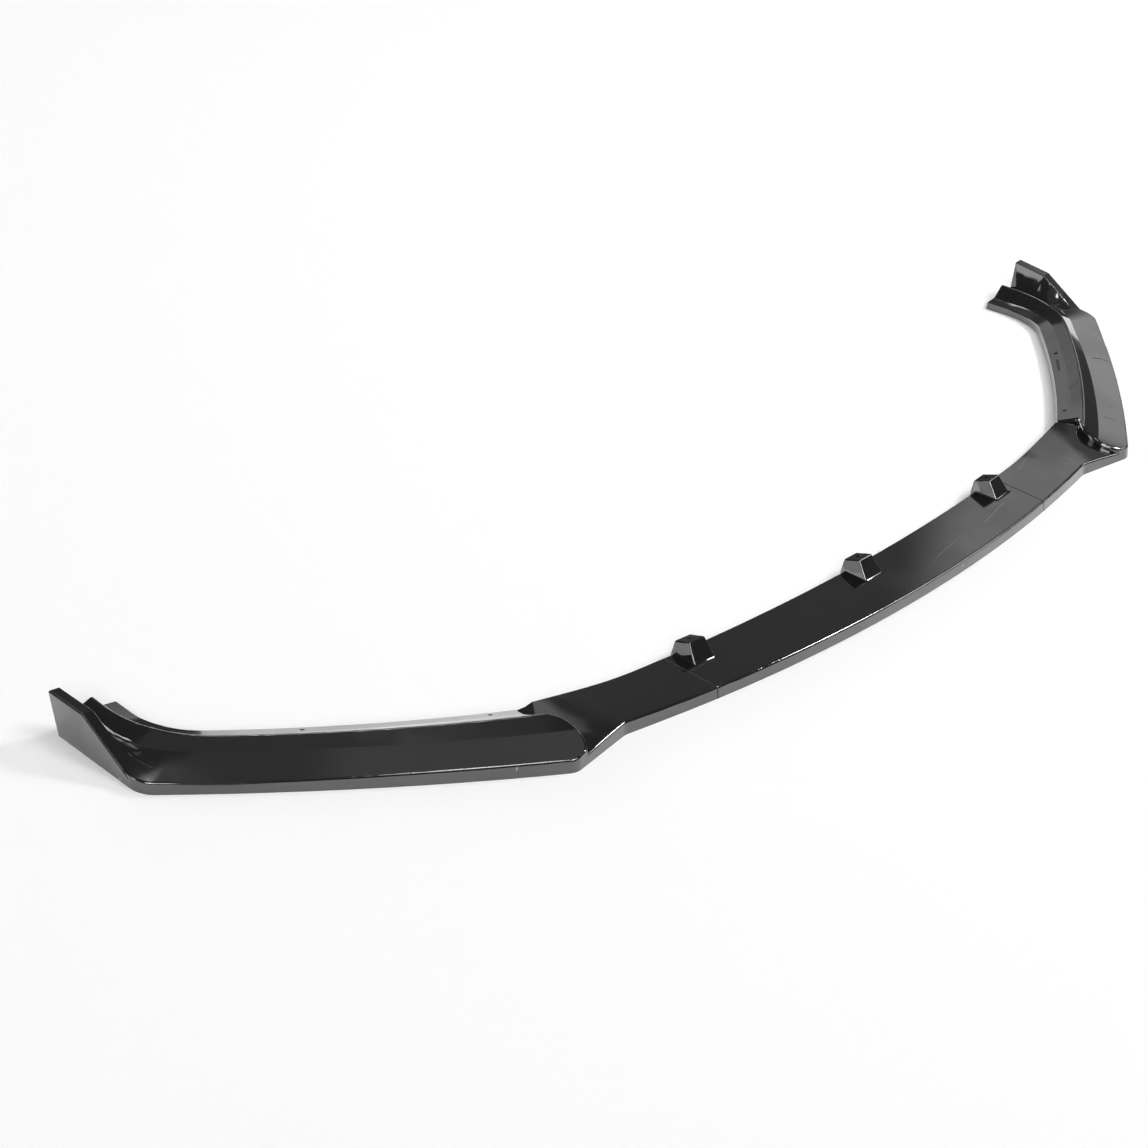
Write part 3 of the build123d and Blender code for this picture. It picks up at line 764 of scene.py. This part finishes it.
@dataclass
class Studio:
    """Pale floor, lit panels in dim surroundings, a key lamp and the camera.

    Args:
        dim: light of the surroundings.
        boxes: the lit panels.
        key_heading: heading of the key lamp, in degrees.
        key_height: its height, in degrees.
        key_distance: its distance, in metres.
        key_size: its width, in metres.
        key_power: its power, in watts.
        floor_size: the floor's width, in metres.
        floor_colour: the floor's colour.
        floor_glow: how much paler the floor shows than it is lit.
        camera_place: where the camera stands, in metres.
        camera_turn: its heading, height and roll in degrees.
        lens: its focal length on a 36 mm sensor.
    """

    dim: float = 0.062
    boxes: tuple[SoftBox, ...] = (
        SoftBox((20.0, 27.5), (21.0, 31.5), 0.47, 0.9),
        SoftBox((20.0, 26.2), (31.5, 42.0), 0.42, 0.9),
        SoftBox((13.0, 21.5), (11.0, 21.0), 0.56),
        SoftBox((14.0, 20.0), (25.0, 36.0), 0.10),
        SoftBox((28.0, 40.0), (22.0, 38.0), 0.04),
        SoftBox((8.0, 38.0), (51.5, 61.0), 0.18),
        SoftBox((38.0, 46.0), (51.5, 61.0), 0.075),
        SoftBox((39.0, 45.0), (15.0, 25.0), 0.34),
        SoftBox((45.0, 57.0), (14.0, 25.0), 0.27),
        SoftBox((36.0, 46.0), (38.0, 50.0), 3.5),
        SoftBox((-33.0, -12.0), (22.0, 39.0), 3.5),
        SoftBox((146.0, 165.0), (-2.0, 40.0), 1.8),
        SoftBox((62.0, 108.0), (4.0, 20.0), 4.0),
        SoftBox((-160.0, -126.0), (22.0, 39.0), 9.0),
        SoftBox((-152.0, -138.0), (40.0, 60.0), 5.0),
        SoftBox((-62.0, -25.0), (71.0, 79.0), 8.0),
        SoftBox((-102.0, -72.0), (59.0, 68.0), 6.0),
        SoftBox((-80.0, -42.0), (47.0, 59.0), 8.0, 2.0),
        SoftBox((-200.0, 200.0), (68.0, 95.0), 0.075),
    )
    key_heading: float = -21.0
    key_height: float = 43.0
    key_distance: float = 4.0
    key_size: float = 0.6
    key_power: float = 37.0
    floor_size: float = 40.0
    floor_colour: Colour = (0.94, 0.94, 0.94)
    floor_glow: float = 0.10
    camera_place: Place = (-2.32460, -1.48049, 1.43562)
    camera_turn: Triple = (-53.1625, 28.8237, 6.6146)
    lens: float = 84.73

    def lay_floor(self) -> None:
        """Lay the floor."""
        bpy.ops.object.select_all(action="DESELECT")
        bpy.ops.mesh.primitive_plane_add(size=self.floor_size)
        floor = bpy.context.object
        floor.name = "floor"
        paint = bpy.data.materials.new("floor_white")
        paint.use_nodes = True
        shader = paint.node_tree.nodes["Principled BSDF"]
        shader.inputs["Base Color"].default_value = opaque(self.floor_colour)
        shader.inputs["Roughness"].default_value = 1.0
        shader.inputs["Specular IOR Level"].default_value = 0.0
        wiring = Wiring(paint.node_tree)
        path = wiring.node("ShaderNodeLightPath").outputs
        seen = wiring.math("MAXIMUM", path["Is Camera Ray"], path["Is Glossy Ray"])
        seen = wiring.math("MAXIMUM", seen, path["Is Transmission Ray"])
        shader.inputs["Emission Color"].default_value = WHITE
        wiring.feed(shader.inputs["Emission Strength"], wiring.math("MULTIPLY", seen, self.floor_glow))
        floor.data.materials.append(paint)

    def light(self) -> None:
        """Light the studio with panels in dim surroundings."""
        world = bpy.data.worlds.new("studio")
        bpy.context.scene.world = world
        world.use_nodes = True
        world.node_tree.nodes.clear()
        wiring = Wiring(world.node_tree)
        parts = wiring.node("ShaderNodeSeparateXYZ")
        wiring.feed(parts.inputs[0], wiring.node("ShaderNodeTexCoord").outputs["Generated"])
        across, along, up = parts.outputs
        heading = wiring.math("DEGREES", wiring.math("ARCTAN2", along, across))
        height = wiring.math("DEGREES", wiring.math("ARCSINE", up))
        total: Fed = self.dim
        for box in self.boxes:
            total = wiring.math("ADD", total, box.glow(wiring, heading, height))
        background, out = wiring.node("ShaderNodeBackground"), wiring.node("ShaderNodeOutputWorld")
        wiring.feed(background.inputs["Strength"], total)
        background.inputs["Color"].default_value = WHITE
        wiring.feed(out.inputs["Surface"], background.outputs[0])

    def hang_key(self) -> None:
        """Hang the key lamp, which throws the pale shadow to the left."""
        turn, rise = math.radians(self.key_heading), math.radians(self.key_height)
        aim = Vector((math.cos(turn) * math.cos(rise), math.sin(turn) * math.cos(rise), math.sin(rise)))
        lamp = bpy.data.objects.new("key", bpy.data.lights.new("key", "AREA"))
        lamp.data.shape = "DISK"
        lamp.data.size = self.key_size
        lamp.data.energy = self.key_power
        lamp.location = aim * self.key_distance
        lamp.rotation_euler = aim.to_track_quat("Z", "Y").to_euler()
        bpy.context.scene.collection.objects.link(lamp)

    def set_camera(self) -> None:
        """Stand the camera where the photograph was taken."""
        heading, height, roll = (math.radians(angle) for angle in self.camera_turn)
        back = Vector((math.sin(heading) * math.cos(height), -math.cos(heading) * math.cos(height),
                       math.sin(height)))
        level = Vector((math.cos(heading), math.sin(heading), 0.0))
        upright = back.cross(level)
        right = math.cos(roll) * level + math.sin(roll) * upright
        up = math.cos(roll) * upright - math.sin(roll) * level
        camera = bpy.data.objects.new("camera", bpy.data.cameras.new("camera"))
        camera.data.lens = self.lens
        stand = Matrix((right, up, back)).transposed().to_4x4()
        stand.translation = Vector(self.camera_place)
        camera.matrix_world = stand
        bpy.context.scene.collection.objects.link(camera)
        bpy.context.scene.camera = camera

    def build(self) -> None:
        """Set up floor, light and camera, and show colours plainly."""
        self.lay_floor()
        self.light()
        self.hang_key()
        self.set_camera()
        bpy.context.scene.view_settings.view_transform = "Standard"


def main() -> None:
    """Dress the part, set up the studio and report each piece."""
    logging.basicConfig(level=logging.INFO, format="%(name)s: %(message)s")
    Effects().build()
    mouldings = Mouldings()
    gloss = mouldings.dress()
    for moulding in gloss:
        # The count takes in the painted shade lines at the seams.
        LOG.info("dressed %s with %d marks of use", moulding.value, len(mouldings.marks[moulding]))
    for piece in TowerFeet().build(gloss[Moulding.CENTRE]):
        LOG.info("built %s, %d faces", piece.name, len(piece.data.polygons))
    screws = JointScrews()
    screws.dress()
    LOG.info("dressed %s", screws.node)
    studio = Studio()
    studio.build()
    LOG.info("set up the studio with %d panels", len(studio.boxes))


if __name__ == "__main__":
    main()
